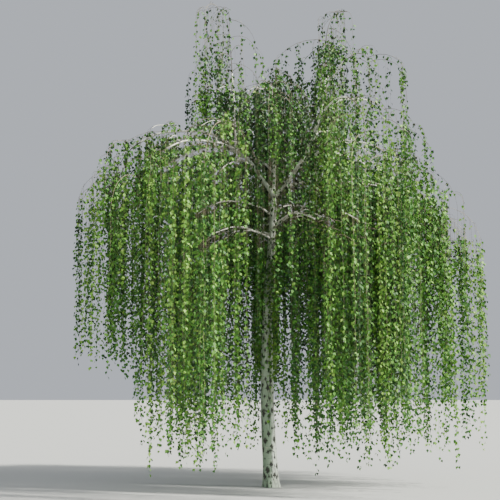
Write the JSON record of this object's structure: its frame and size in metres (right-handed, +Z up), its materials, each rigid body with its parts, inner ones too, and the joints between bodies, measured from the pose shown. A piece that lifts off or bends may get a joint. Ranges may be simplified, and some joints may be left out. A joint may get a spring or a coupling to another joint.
{
  "type": "weeping birch tree",
  "caption": "Weeping birch in summer leaf with a pale forked trunk, thin arching boughs and long hanging twigs of small leaves, rooted in level ground.",
  "frame": {"origin": "middle of the flat cut under the trunk, at ground level", "axes": "+Z up along the trunk, +X to the right in the picture, +Y away from its camera"},
  "size_m": [7.6883, 7.665, 8.866],
  "materials": {
    "trunk_bark": "papery, rough at the foot",
    "bough_bark": "smooth, silvery",
    "twig_bark": "smooth, dark",
    "foliage": "soft leaf, satin"
  },
  "bodies": {
    "root": {"bough_arch_left": "bough_bark", "bough_back": "bough_bark", "bough_back_left": "bough_bark", "bough_back_right": "bough_bark", "bough_crown_front": "bough_bark", "bough_dome_back": "bough_bark", "bough_dome_front": "bough_bark", "bough_front_left": "bough_bark", "bough_front_right": "bough_bark", "bough_left_back": "bough_bark", "bough_left_front": "bough_bark", "bough_left_high": "bough_bark", "bough_left_low": "bough_bark", "bough_low_back": "bough_bark", "bough_low_back_left": "bough_bark", "bough_low_back_right": "bough_bark", "bough_low_front_left": "bough_bark", "bough_low_front_right": "bough_bark", "bough_low_right": "bough_bark", "bough_right_back": "bough_bark", "bough_right_far": "bough_bark", "bough_right_front": "bough_bark", "bough_right_high": "bough_bark", "bough_spire": "bough_bark", "foliage_arch_left": "foliage", "foliage_back": "foliage", "foliage_back_left": "foliage", "foliage_back_right": "foliage", "foliage_crown_front": "foliage", "foliage_crown_top": "foliage", "foliage_dome_back": "foliage", "foliage_dome_front": "foliage", "foliage_dome_top": "foliage", "foliage_front_left": "foliage", "foliage_front_right": "foliage", "foliage_left_back": "foliage", "foliage_left_front": "foliage", "foliage_left_high": "foliage", "foliage_left_low": "foliage", "foliage_low_back": "foliage", "foliage_low_back_left": "foliage", "foliage_low_back_right": "foliage", "foliage_low_front_left": "foliage", "foliage_low_front_right": "foliage", "foliage_low_right": "foliage", "foliage_right_back": "foliage", "foliage_right_far": "foliage", "foliage_right_front": "foliage", "foliage_right_high": "foliage", "foliage_spire": "foliage", "leader_centre": "trunk_bark", "leader_left": "trunk_bark", "leader_right": "trunk_bark", "trunk": "trunk_bark"}
  },
  "joints": []
}
